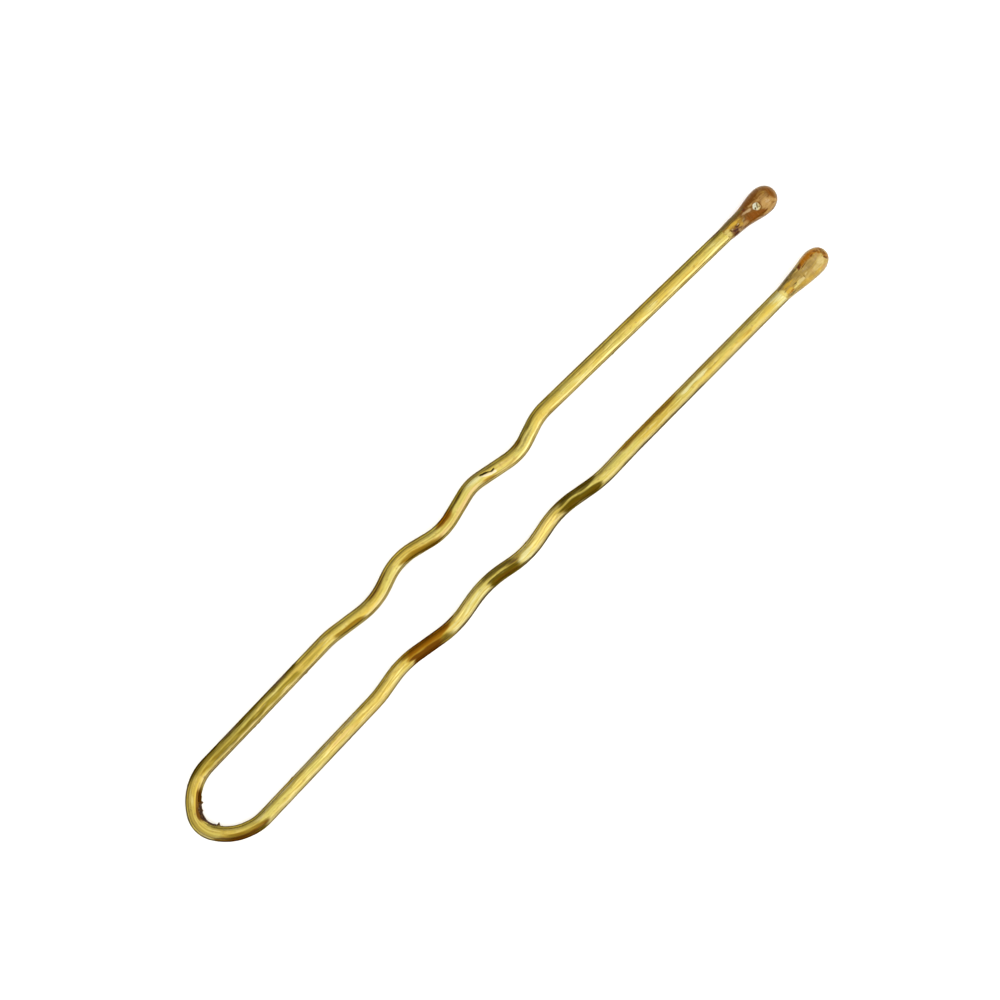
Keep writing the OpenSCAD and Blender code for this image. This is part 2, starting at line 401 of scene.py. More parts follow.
# Small lumps: leg, along, degrees towards the inside, radius and height in millimetres, and how dark
LUMPS = [
    (LEFT, 1.85, 82, 0.17, 0.17, 1.0),
    (LEFT, 1.15, 80, 0.16, 0.06, 1.0),
    (LEFT, 0.45, 66, 0.14, 0.05, 1.0),
    (RIGHT, 0.25, 62, 0.12, 0.05, 1.0),
    (RIGHT, 0.75, 78, 0.14, 0.05, 0.8),
    (RIGHT, 1.08, 72, 0.17, 0.07, 0.9),
    (RIGHT, 1.40, 82, 0.21, 0.20, 0.9),
    (LEFT, 9.50, 88, 0.10, 0.04, 0.6),
    (LEFT, 9.90, 90, 0.09, 0.04, 0.6),
    (LEFT, 15.00, 88, 0.10, 0.05, 0.5),
    (RIGHT, 8.80, 86, 0.12, 0.04, 0.4),
    (RIGHT, 34.40, 88, 0.08, 0.03, 0.6),
]
# The crack in the left leg: along the leg, degrees from the top, and half width in millimetres
CRACK = [
    (34.85, -28, 0.065),
    (35.07, -22, 0.072),
    (35.27, -19, 0.066),
    (35.44, -16, 0.042),
    (35.61, -8, 0.025),
    (35.72, -4, 0.052),
    (35.93, -11, 0.055),
]
CRACK_DEEP = 0.06
# The pale flake along the crack's lower side
FLAKE = [
    (34.88, -9, 0.05),
    (35.16, -3, 0.10),
    (35.50, 7, 0.11),
    (35.95, 12, 0.11),
]
FLAKE_H = 0.012

# How finely the wire's skin is drawn: its sides, and the steps between rings in plain and fine stretches
SIDES = 80
RING_STEP = 0.15
FINE_STEP = 0.045
FINE = [(-36.4, -34.4), (-2.9, 2.0)]
# How far the wire's ends, inside the drops, are rounded, and the share of that where the rounding stops
END_ROUND = 0.35
END_STOP = 0.02


def ring_places():
    fine = FINE + [(end - 2 * END_ROUND, end + 2 * END_ROUND) for end in path.ends.values()]
    places = []
    s = path.ends[LEFT]
    while s < path.ends[RIGHT]:
        places.append(s)
        s += FINE_STEP if any(a < s < b for a, b in fine) else RING_STEP
    return np.array(places + [path.ends[RIGHT]])


def stroke(x, y, corners):
    """How far each point lies from a line through the corners, in shares of the line's half width."""
    best = np.full(len(x), np.inf)
    for (ax, ay, half_a), (bx, by, half_b) in zip(corners[:-1], corners[1:]):
        dx, dy = bx - ax, by - ay
        t = np.clip(((x - ax) * dx + (y - ay) * dy) / (dx ** 2 + dy ** 2), 0, 1)
        apart = np.hypot(x - ax - t * dx, y - ay - t * dy)
        best = np.minimum(best, apart / (half_a + t * (half_b - half_a)))
    return best


class WireSkin:
    """The points of the wire's skin, ring after ring: their leg, how far along it and how far round the
    wire they lie, and their place on the straightened wire."""

    def __init__(self, rings):
        self.around = np.arange(SIDES) * 2 * math.pi / SIDES
        self.s = np.repeat(rings, SIDES)
        self.leg = np.where(self.s < 0, LEFT, RIGHT)
        self.along = np.abs(self.s)
        self.inward = np.degrees(np.tile((self.around + math.pi) % (2 * math.pi) - math.pi, len(rings)))
        self.turn = self.inward * self.leg
        arc = np.radians(self.inward)
        self.place = np.stack([self.s, WIRE_R * np.sin(arc), WIRE_R * np.cos(arc)], 1)
        self.ragged_along = noise_at(self.place, (0.5, 3.5, 3.5), 1) * RAGGED[0]
        self.ragged_turn = noise_at(self.place, (0.9, 1.2, 1.2), 2) * RAGGED[1]
        self.rough = noise_at(self.place, 7.0, 4) + 0.6 * noise_at(self.place, 16.0, 5)


def wire_stains_and_painted_light(skin):
    """How strongly each stain, and each mark of painted light and shade, shows at each point of the skin.
    """
    fields = {name: np.zeros(len(skin.s)) for name in STAINS_AND_PAINTED_LIGHT}
    x, y = skin.along + skin.ragged_along, skin.turn + skin.ragged_turn
    for finish, side, start, end, low, high, strength in WIRE_MARKS:
        patch = soft_patch(x, y, (start, end), (low, high), *MARK_FADE)
        fields[finish] = np.maximum(fields[finish], strength * patch * (skin.leg == side))
    return fields


def add_crust(skin, height):
    """Raises the crust and the lumps above the skin, and returns how dark they are."""
    crust = np.zeros(len(skin.s))
    for side, (start, end, low, high) in CRUST.items():
        x = skin.along * np.where(skin.leg == side, 1, -1) + skin.ragged_along
        y = skin.inward + 1.5 * skin.ragged_turn
        crust = np.maximum(crust, soft_patch(x, y, (start, end), (low, high), *CRUST_FADE))
    crust = fade(crust + 0.45 * skin.rough + 0.30 * noise_at(skin.place, 3.0, 6), *CRUST_EDGE)
    height += crust * CRUST_H * (1 + 0.9 * skin.rough)
    for side, at, angle, radius, tall, dark in LUMPS:
        apart = np.hypot(skin.along - at, np.radians(skin.inward - angle) * WIRE_R) / radius
        lump = (1 - fade(apart, *LUMP_EDGE)) * (skin.leg == side)
        height += tall * lump * (1 + 0.25 * skin.rough)
        crust = np.maximum(crust, dark * fade(lump, 0.05, 0.5))
    return crust


def on_left_leg(skin, rows):
    """1 on a ragged stroke through the rows and 0 beside it."""
    corners = [(along, math.radians(degrees) * WIRE_R, half) for along, degrees, half in rows]
    apart = stroke(skin.along, np.radians(skin.turn) * WIRE_R, corners)
    return (1 - fade(apart + 0.25 * skin.rough, *STROKE_EDGE)) * (skin.leg == LEFT)


def make_wire():
    rings = ring_places()
    skin = WireSkin(rings)
    height = np.full(len(skin.s), -SKIN_INSET) + SKIN_RELIEF * noise_at(skin.place, (0.5, 0.9, 0.9), 3)
    fields = wire_stains_and_painted_light(skin)
    fields["grime"] = np.maximum(fields["grime"], add_crust(skin, height))

    # The crack is a groove with a pale flake along its lower side
    groove, flake = on_left_leg(skin, CRACK), on_left_leg(skin, FLAKE)
    height += FLAKE_H * flake * (1 - groove) - CRACK_DEEP * groove
    fields["chalk"] = flake * (1 - groove)
    fields["void"] = groove

    from_end = np.minimum(skin.s - rings[0], rings[-1] - skin.s) / END_ROUND
    height -= WIRE_R * (1 - np.sqrt(1 - (1 - np.clip(from_end, END_STOP, 1)) ** 2))
    xy, headings = path.at(rings)
    middle = lifted(xy)
    across = np.stack([-np.sin(headings), np.cos(headings), np.zeros(len(headings))], 1)
    sideways, upward = [wave(skin.around)[None, :, None] for wave in (np.sin, np.cos)]
    out = (sideways * across[:, None, :] + upward * plane_up).reshape(-1, 3)
    points = np.repeat(middle, SIDES, axis=0) + out * (WIRE_R + height)[:, None]
    vertices = np.vstack([points, middle[:1], middle[-1:]])
    piece = new_piece("hair_pin_wire", vertices, tube_faces(len(rings), SIDES))
    write_place(piece, "wire_place", np.vstack([skin.place, [[rings[0], 0, 0], [rings[-1], 0, 0]]]))
    for name, values in fields.items():
        write_field(piece, name, np.append(values, [0, 0]))
    return piece


# Materials

class Material:
    """A Principled material, with short ways to add nodes and to join them."""

    def __init__(self, name):
        self.made = bpy.data.materials.new(name)
        self.made.use_nodes = True
        self.nodes, self.links = self.made.node_tree.nodes, self.made.node_tree.links
        self.surface = self.nodes["Principled BSDF"]

    def set(self, **values):
        for name, value in values.items():
            self.surface.inputs[name.replace("_", " ")].default_value = value

    def feed(self, name, output):
        self.links.new(output, self.surface.inputs[name.replace("_", " ")])

    def place(self, name):
        node = self.nodes.new("ShaderNodeAttribute")
        node.attribute_name = name
        return node.outputs["Vector"]

    def field(self, name):
        node = self.nodes.new("ShaderNodeAttribute")
        node.attribute_name = name
        return node.outputs["Fac"]

    def noise(self, place, stretch, detail=3.0, distortion=0.0):
        scaled = self.nodes.new("ShaderNodeVectorMath")
        scaled.operation = "MULTIPLY"
        scaled.inputs[1].default_value = stretch
        self.links.new(place, scaled.inputs[0])
        node = self.nodes.new("ShaderNodeTexNoise")
        node.inputs["Scale"].default_value = 1.0
        node.inputs["Detail"].default_value = detail
        node.inputs["Distortion"].default_value = distortion
        self.links.new(scaled.outputs[0], node.inputs["Vector"])
        return node.outputs["Fac"]

    def math(self, operation, a, b):
        node = self.nodes.new("ShaderNodeMath")
        node.operation = operation
        for socket, value in zip(node.inputs, (a, b)):
            if isinstance(value, (int, float)):
                socket.default_value = value
            else:
                self.links.new(value, socket)
        return node.outputs[0]

    def ease(self, value, low, high, out_low=0.0, out_high=1.0):
        node = self.nodes.new("ShaderNodeMapRange")
        node.interpolation_type = "SMOOTHSTEP"
        node.inputs["From Min"].default_value = low
        node.inputs["From Max"].default_value = high
        node.inputs["To Min"].default_value = out_low
        node.inputs["To Max"].default_value = out_high
        self.links.new(value, node.inputs["Value"])
        return node.outputs["Result"]

    def mix(self, factor, a, b, blend="MIX"):
        """Mixes colours a and b, each an RGB triple or another node's output."""
        node = self.nodes.new("ShaderNodeMix")
        node.data_type = "RGBA"
        node.blend_type = blend
        colour_a, colour_b = [i for i in node.inputs if i.type == "RGBA"]
        for socket, value in ((node.inputs[0], factor), (colour_a, a), (colour_b, b)):
            if isinstance(value, tuple):
                socket.default_value = (*value, 1.0)
            elif isinstance(value, (int, float)):
                socket.default_value = value
            else:
                self.links.new(value, socket)
        return [o for o in node.outputs if o.type == "RGBA"][0]

    def bump(self, height, distance, after=None):
        node = self.nodes.new("ShaderNodeBump")
        node.inputs["Distance"].default_value = distance
        self.links.new(height, node.inputs["Height"])
        if after is not None:
            self.links.new(after, node.inputs["Normal"])
        return node.outputs["Normal"]


# The finishes that lie on the brass, stains together with painted reflections, highlights and shade, in
# the
# order in which they cover each other: colour, and how ragged their edges are
STAINS_AND_PAINTED_LIGHT = {
    "dull": ((0.250, 0.195, 0.035), 0.60),
    "soft": ((0.480, 0.410, 0.210), 0.60),
    "painted_grey_reflection": ((0.500, 0.450, 0.270), 0.60),
    "painted_gold_highlight": ((0.760, 0.640, 0.290), 0.50),
    "rose": ((0.500, 0.370, 0.190), 0.70),
    "edge": ((0.150, 0.125, 0.080), 0.50),
    "olive": ((0.110, 0.078, 0.006), 0.45),
    "ochre": ((0.290, 0.170, 0.020), 0.45),
    "umber": ((0.135, 0.060, 0.007), 0.40),
    "russet": ((0.250, 0.120, 0.009), 0.40),
    "pale": ((0.540, 0.500, 0.270), 0.80),
    "chalk": ((0.560, 0.490, 0.330), 0.35),
    "grime": ((0.055, 0.030, 0.018), 0.15),
    "void": ((0.025, 0.015, 0.003), 0.0),
}
# The bare brass: its two main colours, and the colours of the rust and the bright chips in the grime
YELLOW_BRASS = (0.475, 0.370, 0.100)
GREEN_BRASS = (0.455, 0.400, 0.138)
RUST = (0.17, 0.095, 0.045)
CHIP = (0.42, 0.36, 0.20)
BRASS_GLINT = (0.12, 0.11, 0.10, 1.0)
# How strong a mark has to be to begin to show and to cover all that is under it
BRASS_SHOWS = (0.15, 0.95)
RESIN_SHOWS = (0.05, 0.95)
# How deep the relief of the brass looks, in metres
STREAK_DEEP = 3.5e-6
STROKE_DEEP = 1.2e-6
BLOTCH_DEEP = 5.0e-6


def brass():
    m = Material("aged_brass")
    place = m.place("wire_place")
    streaks = m.noise(place, (0.16, 4.5, 4.5), 4.0)
    strokes = m.noise(place, (0.70, 7.0, 7.0), 3.0)
    hairlines = m.noise(place, (0.30, 18.0, 18.0), 2.0)
    clouds = m.noise(place, (0.30, 0.9, 0.9), 2.0)
    blotches = m.noise(place, (1.6, 2.6, 2.6), 3.0, 0.6)
    flecks = m.noise(place, (3.6, 5.2, 5.2), 3.0)
    colour = m.mix(m.ease(clouds, 0.35, 0.65), YELLOW_BRASS, GREEN_BRASS)
    # A noise, two values of it, the share of the tint at each of them, and the tint
    for grain, low, high, at_low, at_high, tint in (
        (streaks, 0.32, 0.56, 0.60, 0.0, (0.34, 0.26, 0.06)),
        (blotches, 0.55, 0.75, 0.0, 0.35, (0.54, 0.43, 0.19)),
        (strokes, 0.55, 0.70, 0.0, 0.45, (0.60, 0.54, 0.27)),
        (hairlines, 0.30, 0.46, 0.55, 0.0, (0.30, 0.23, 0.06)),
        (flecks, 0.56, 0.70, 0.0, 0.50, (0.30, 0.22, 0.09)),
    ):
        colour = m.mix(m.ease(grain, low, high, at_low, at_high), colour, tint)
    # Lay the stains and the painted light and shade over the brass in turn
    for name, (tint, ragged) in STAINS_AND_PAINTED_LIGHT.items():
        torn = m.math("MULTIPLY", m.math("SUBTRACT", strokes, 0.5), 2 * ragged)
        torn = m.math("ADD", torn, m.math("MULTIPLY", m.math("SUBTRACT", hairlines, 0.5), ragged))
        colour = m.mix(m.ease(m.math("ADD", m.field(name), torn), *BRASS_SHOWS), colour, tint)
    crumbs = m.noise(place, (9.0, 9.0, 9.0), 3.0)
    for low, high, tint in ((0.45, 0.62, RUST), (0.62, 0.70, CHIP)):
        share = m.math("MULTIPLY", m.field("grime"), m.ease(crumbs, low, high, 0.0, 0.9))
        colour = m.mix(share, colour, tint)
    m.feed("Base_Color", colour)
    m.set(Specular_Tint=BRASS_GLINT)
    dull = m.ease(streaks, 0.30, 0.70, 0.23, 0.16)
    dull = m.math("ADD", dull, m.math("MULTIPLY", m.field("pale"), 0.10))
    dull = m.math("ADD", dull, m.math("MULTIPLY", m.field("grime"), 0.50))
    m.feed("Roughness", dull)
    m.feed("Metallic", m.ease(m.field("grime"), 0.2, 0.8, 1.0, 0.0))
    drawn = m.bump(streaks, STREAK_DEEP)
    drawn = m.bump(strokes, STROKE_DEEP, drawn)
    m.feed("Normal", m.bump(blotches, BLOTCH_DEEP, drawn))
    return m.made


# The finishes in and on the resin, stains together with painted light and shade, in the order in which
# they cover each other
RESIN_STAINS_AND_PAINTED_LIGHT = {
    "tan": (0.42, 0.272, 0.105),
    "beige": (0.46, 0.340, 0.200),
    "cream": (0.53, 0.430, 0.200),
    "gold": (0.54, 0.360, 0.055),
    "lemon": (0.64, 0.540, 0.200),
    "khaki": (0.22, 0.175, 0.060),
    "amber": (0.36, 0.155, 0.010),
    "rust": (0.22, 0.080, 0.002),
    "burnt": (0.165, 0.066, 0.004),
    "frost": (0.56, 0.56, 0.44),
    "russet": (0.14, 0.042, 0.013),
    "olive": (0.145, 0.102, 0.026),
    "speck": (0.070, 0.018, 0.012),
}
CLEAR_TINT = (0.98, 0.84, 0.46)
RING_TINT = (0.60, 0.42, 0.16)
# How deep the relief of the resin looks, in metres
SWIRL_DEEP = 8.0e-6
GRAIN_DEEP = 2.0e-6


def resin(name, light, deep, skin, ringed):
    """Resin between a light and a deep colour, with faint rings and painted shade on its flanks."""
    m = Material(name)
    place = m.place("drop_place")
    swirl = m.noise(place, (0.9, 2.2, 2.2), 3.0, 1.0)
    grain = m.noise(place, (2.2, 9.0, 9.0), 3.0, 0.4)
    rings = m.noise(place, (9.0, 1.5, 1.5), 2.0)
    colour = m.mix(m.ease(swirl, 0.38, 0.62), deep, light)
    colour = m.mix(m.ease(m.field("clear"), 0.35, 0.70), colour, CLEAR_TINT)
    torn = m.math("SUBTRACT", m.math("MULTIPLY", grain, 0.9), 0.45)
    # Lay the stains and the painted light and shade over the resin in turn
    for finish, tint in RESIN_STAINS_AND_PAINTED_LIGHT.items():
        colour = m.mix(m.ease(m.math("ADD", m.field(finish), torn), *RESIN_SHOWS), colour, tint)
    colour = m.mix(m.ease(rings, 0.50, 0.72, 0.0, ringed), colour, RING_TINT)
    colour = m.mix(m.ease(grain, 0.30, 0.50, 0.28, 0.0), colour, deep)
    # The skin colour is painted shade on the drop's flanks
    colour = m.mix(m.field("skin"), colour, skin)
    m.feed("Base_Color", colour)
    m.set(Roughness=0.12, IOR=1.50, Specular_IOR_Level=0.22)
    m.feed("Transmission_Weight", m.field("clear"))
    m.feed("Normal", m.bump(grain, GRAIN_DEEP, m.bump(swirl, SWIRL_DEEP)))
    return m.made


# The marks on the drops: finish, place along the drop in millimetres from its neck and across it as seen
# from above, where plus is the photo's lower right, half length, half width, degrees and strength
# Some of these marks are stains and specks in the resin; many are painted light and shade: lighter tan,
# beige and cream marks towards the plus side are painted reflections, and deeper amber and burnt marks
# along the minus side are painted shade.
DROP_MARKS = {
    LEFT: [
        ("tan", 3.62, 0.32, 0.45, 0.38, 0, 0.9),
        ("tan", 4.10, 0.35, 0.20, 0.25, 0, 0.6),
        ("tan", 2.50, -0.86, 0.40, 0.06, -20, 0.6),
        ("tan", 3.55, 0.82, 0.60, 0.12, -5, 0.8),
        ("tan", 4.20, 0.52, 0.30, 0.14, 50, 0.8),
        ("tan", 1.50, 0.40, 0.35, 0.14, 0, 0.7),
        ("tan", 3.40, -0.28, 0.45, 0.14, -5, 0.6),
        ("tan", 2.62, -0.36, 0.28, 0.08, 5, 0.7),
        ("tan", 3.62, -0.12, 0.30, 0.12, 0, 0.4),
        ("beige", 0.84, 0.48, 0.12, 0.10, 0, 0.8),
        ("beige", 1.15, 0.50, 0.20, 0.07, 0, 0.5),
        ("beige", 2.10, -0.17, 0.38, 0.10, 5, 0.8),
        ("beige", 3.78, 0.30, 0.16, 0.18, 0, 0.5),
        ("beige", 2.50, 0.80, 0.45, 0.05, 20, 0.5),
        ("beige", 1.55, 0.10, 0.20, 0.08, -30, 0.5),
        ("gold", 0.55, -0.05, 0.95, 0.40, 0, 0.55),
        ("gold", 0.70, -0.16, 0.75, 0.12, 0, 0.9),
        ("gold", 1.15, 0.22, 0.28, 0.10, 0, 0.6),
        ("gold", 3.88, -0.42, 0.16, 0.12, 0, 0.3),
        # At the neck, lemon is a painted highlight and khaki painted shade, carrying on the look of the
        # wire.
        ("lemon", -0.05, 0.26, 0.35, 0.22, 0, 0.8),
        ("lemon", 0.00, -0.06, 0.25, 0.12, 0, 0.7),
        ("khaki", 0.00, -0.46, 0.55, 0.13, 0, 0.8),
        ("amber", 3.45, -0.50, 0.50, 0.20, 0, 0.25),
        ("rust", 2.30, 0.38, 0.56, 0.30, 10, 1.0),
        ("rust", 2.90, 0.58, 0.32, 0.13, 15, 0.9),
        ("rust", 4.35, -0.10, 0.22, 0.50, 0, 0.6),
        ("burnt", 2.75, -0.70, 0.85, 0.22, -6, 1.0),
        ("burnt", 2.12, -0.45, 0.32, 0.18, 8, 0.6),
        ("burnt", 3.60, -0.84, 0.50, 0.10, 16, 0.8),
        ("burnt", 3.12, 0.70, 0.28, 0.06, 6, 0.9),
        ("burnt", 2.02, 0.18, 0.10, 0.30, 0, 0.6),
        ("burnt", 2.95, -0.52, 0.30, 0.05, 8, 0.6),
        ("burnt", 4.40, 0.05, 0.07, 0.40, 0, 0.6),
        ("burnt", 4.18, -0.58, 0.20, 0.12, 32, 0.6),
        ("frost", 0.44, 0.12, 0.07, 0.05, 0, 0.6),
        ("frost", 0.98, 0.04, 0.10, 0.04, 0, 0.5),
        ("frost", 0.70, 0.24, 0.05, 0.05, 0, 0.5),
        ("russet", 2.00, -0.46, 0.10, 0.18, 0, 0.8),
        ("russet", 2.60, 0.64, 0.12, 0.03, 18, 0.5),
        ("russet", 0.55, 0.30, 0.34, 0.20, 0, 0.65),
        # The long olive lines along the neck's minus side are painted shade.
        ("olive", 0.95, -0.53, 1.10, 0.10, -3, 1.0),
        ("olive", 0.90, -0.33, 0.55, 0.035, -2, 0.8),
        ("olive", 1.62, 0.08, 0.30, 0.05, -33, 0.5),
        ("olive", 1.35, -0.20, 0.25, 0.04, 10, 0.5),
        ("olive", 4.42, -0.66, 0.28, 0.05, 42, 0.5),
        ("speck", 0.50, 0.27, 0.18, 0.07, 10, 1.0),
        ("speck", 0.52, 0.54, 0.26, 0.06, 0, 0.9),
        ("speck", 0.92, 0.15, 0.14, 0.04, 0, 0.9),
        ("speck", 0.76, 0.08, 0.07, 0.06, 0, 0.8),
        ("speck", 0.28, 0.12, 0.04, 0.12, 0, 0.8),
        ("speck", 0.98, 0.33, 0.10, 0.04, 30, 0.6),
        ("speck", 0.72, 0.34, 0.05, 0.10, 0, 0.8),
    ],
    RIGHT: [
        ("tan", 2.70, -0.20, 0.75, 0.24, 0, 0.55),
        ("tan", 3.50, 0.74, 0.30, 0.12, 0, 0.8),
        ("tan", 3.65, -0.84, 0.28, 0.05, 12, 0.6),
        ("tan", 2.55, 0.40, 0.14, 0.28, 15, 0.5),
        ("tan", 3.66, -0.22, 0.26, 0.16, 0, 0.6),
        ("beige", 3.35, -0.20, 0.26, 0.10, 0, 0.5),
        ("beige", 2.30, -0.18, 0.25, 0.08, 0, 0.6),
        ("cream", 3.60, 0.24, 0.34, 0.26, 0, 0.75),
        ("cream", 3.05, 0.40, 0.40, 0.20, 0, 0.5),
        ("cream", 1.45, 0.24, 0.42, 0.13, 0, 0.95),
        ("cream", 2.15, 0.12, 0.14, 0.08, 0, 0.6),
        ("gold", 0.55, 0.05, 0.80, 0.36, 0, 0.45),
        ("gold", 1.60, 0.55, 0.90, 0.16, 5, 0.5),
        ("gold", 0.30, 0.16, 0.42, 0.14, 0, 1.0),
        ("gold", 0.60, -0.24, 0.55, 0.10, 0, 0.8),
        ("gold", 2.90, 0.66, 0.40, 0.12, 0, 0.5),
        ("lemon", 0.98, 0.27, 0.26, 0.09, 0, 0.80),
        ("lemon", 1.20, 0.12, 0.25, 0.05, 0, 0.6),
        # At the neck, lemon is a painted highlight and khaki painted shade, carrying on the look of the
        # wire.
        ("lemon", -0.20, 0.05, 0.30, 0.34, 0, 1.0),
        ("khaki", 0.00, -0.50, 0.55, 0.10, 0, 0.8),
        ("khaki", 0.42, 0.46, 0.32, 0.06, 5, 0.8),
        ("khaki", 2.65, -0.16, 0.85, 0.22, 0, 0.45),
        ("amber", 2.52, -0.66, 0.38, 0.15, -16, 1.0),
        ("amber", 3.10, -0.68, 0.45, 0.22, 0, 1.0),
        ("amber", 3.62, -0.62, 0.32, 0.18, 16, 1.0),
        ("amber", 4.16, 0.20, 0.13, 0.32, 0, 0.8),
        ("amber", 4.05, -0.48, 0.22, 0.30, 24, 0.8),
        ("amber", 0.42, 0.31, 0.22, 0.06, 0, 0.9),
        ("burnt", 2.14, -0.58, 0.24, 0.10, -25, 0.9),
        ("burnt", 3.34, -0.50, 0.16, 0.06, 0, 0.6),
        ("burnt", 3.86, -0.50, 0.28, 0.11, 30, 0.60),
        ("burnt", 4.14, -0.05, 0.13, 0.42, 0, 0.65),
        ("burnt", 4.04, -0.50, 0.12, 0.26, 32, 0.60),
        ("burnt", 2.50, -0.42, 0.40, 0.04, -4, 0.6),
        ("burnt", 4.06, 0.40, 0.08, 0.22, -22, 0.8),
        ("russet", 2.05, -0.60, 0.16, 0.07, -25, 0.8),
        # The long olive lines along the neck's minus side are painted shade.
        ("olive", 1.05, -0.60, 1.15, 0.11, -7, 0.80),
        ("olive", 1.20, -0.42, 0.70, 0.04, -3, 0.45),
        ("olive", 0.12, 0.00, 0.12, 0.03, 0, 0.6),
        ("olive", 1.05, 0.05, 0.18, 0.04, 0, 0.7),
        ("olive", 1.90, 0.15, 0.03, 0.16, 0, 0.7),
        ("olive", 1.45, -0.10, 0.25, 0.03, 0, 0.5),
        ("olive", 3.20, -0.92, 0.50, 0.03, 3, 0.6),
        ("olive", 0.24, -0.13, 0.04, 0.04, 0, 0.5),
        ("olive", 0.90, 0.54, 0.80, 0.03, 7, 0.4),
    ],
}
# The broken bubble in the left drop: along, across, half width and depth
BUBBLE = (2.89, 0.02, 0.33, 0.035)
# Where the bubble's wall begins and ends, and the middle and width of its rim, in half widths
WALL = (0.72, 1.06)
RIM = (1.1, 0.14)
RIM_H = 0.006
# How the bubble's outline strays from a circle: number of waves, their share of the half width, and phase
OUTLINE_WAVES = ((2, 0.05, 0.9), (5, 0.03, 0.0))
# The slits in the bubble, in the same terms as the marks
SLITS = [
    (2.73, 0.09, 0.10, 0.055, -50),
    (2.98, -0.02, 0.19, 0.040, -58),
    (3.05, 0.16, 0.06, 0.03, -40),
]
# How far the drops hang to the side of their own axis, and from where along them and over what length
BELLY = {LEFT: 0.0, RIGHT: 0.033}
BELLY_START = 0.4
BELLY_L = 2.9
# The drawn drops lie a little inside their solids
DROP_INSET = 0.01
DROP_SLIM = 0.992
# The thin skirt of resin at a drop's neck, as place along the drop and radius, and where the taper starts
SKIRT = [(-0.35, WIRE_R - 0.030), (-0.15, 0.598), (0.05, 0.622), (0.30, 0.648)]
TAPER_START = 0.4
# The power that shapes a drop's end: 1 is a round end, and less is a blunter one
END_POWER = 0.92
# How uneven a drop is, how uneven its skirt is, and how far its marks stray
DROP_RELIEF = 0.008
SKIRT_RELIEF = 0.020
STRAY = 0.06
# How finely the drops are drawn
DROP_SIDES = 160
NECK_RINGS = 110
CAP_RINGS = 44


def blot(x, y, mark):
    """1 inside a turned ellipse and 0 outside it, with a soft edge."""
    at_x, at_y, half_x, half_y, degrees = mark
    turn_cos, turn_sin = math.cos(math.radians(degrees)), math.sin(math.radians(degrees))
    dx, dy = x - at_x, y - at_y
    apart = np.hypot((dx * turn_cos + dy * turn_sin) / half_x, (dy * turn_cos - dx * turn_sin) / half_y)
    return 1 - fade(apart, *BLOT_EDGE)


def smooth_curve(x, rows):
    """A smooth curve through rows of (x, y)."""
    xs, ys = np.array(rows).T
    slope = np.gradient(ys, xs)
    i = np.clip(np.searchsorted(xs, x, "right") - 1, 0, len(xs) - 2)
    h = xs[i + 1] - xs[i]
    t = (x - xs[i]) / h
    blend = 3 * t ** 2 - 2 * t ** 3
    bow = t * (1 - t) * h * (slope[i] * (1 - t) - slope[i + 1] * t)
    return ys[i] * (1 - blend) + ys[i + 1] * blend + bow


class DropSkin:
    """The points of a drop's skin, ring after ring: u along the drop from its neck, r from its axis, the
    angle round it from the top, and their place on the straight drop."""

    def __init__(self, side):
        self.length, radius = DROP_L[side] - DROP_INSET, DROP_R[side] * DROP_SLIM
        start = self.length * DROP_TAPER[side][-1][0]
        taper = [(self.length * a, NECK_R + (radius - NECK_R) * b) for a, b in DROP_TAPER[side]]
        rows = SKIRT + [row for row in taper if row[0] > TAPER_START]
        neck = np.linspace(rows[0][0], start, NECK_RINGS)
        cap = np.linspace(0, math.pi / 2, CAP_RINGS + 1)[1:-1]
        self.rings = np.concatenate([neck, start + (self.length - start) * np.sin(cap)])
        radii = np.concatenate([smooth_curve(neck, rows), radius * np.cos(cap) ** END_POWER])

        self.angle = np.tile(np.arange(DROP_SIDES) * 2 * math.pi / DROP_SIDES, len(self.rings))
        self.u, r = np.repeat(self.rings, DROP_SIDES), np.repeat(radii, DROP_SIDES)
        self.place = np.stack([self.u, r * np.sin(self.angle), r * np.cos(self.angle)], 1)
        r = r + DROP_RELIEF * noise_at(self.place, 0.9, 7 + side) * fade(self.u, 0.3, 1.2)
        self.r = r + SKIRT_RELIEF * noise_at(self.place, 3.0, 13 + side) * (1 - fade(self.u, -0.1, 0.3))
        self.across = self.r * np.sin(self.angle)
        self.upright = np.cos(self.angle) * np.where(self.u > start, self.r / radius, 1)
        self.stray_u = STRAY * noise_at(self.place, 3.0, 9 + side)
        self.stray_across = STRAY * noise_at(self.place, 3.0, 11 + side)


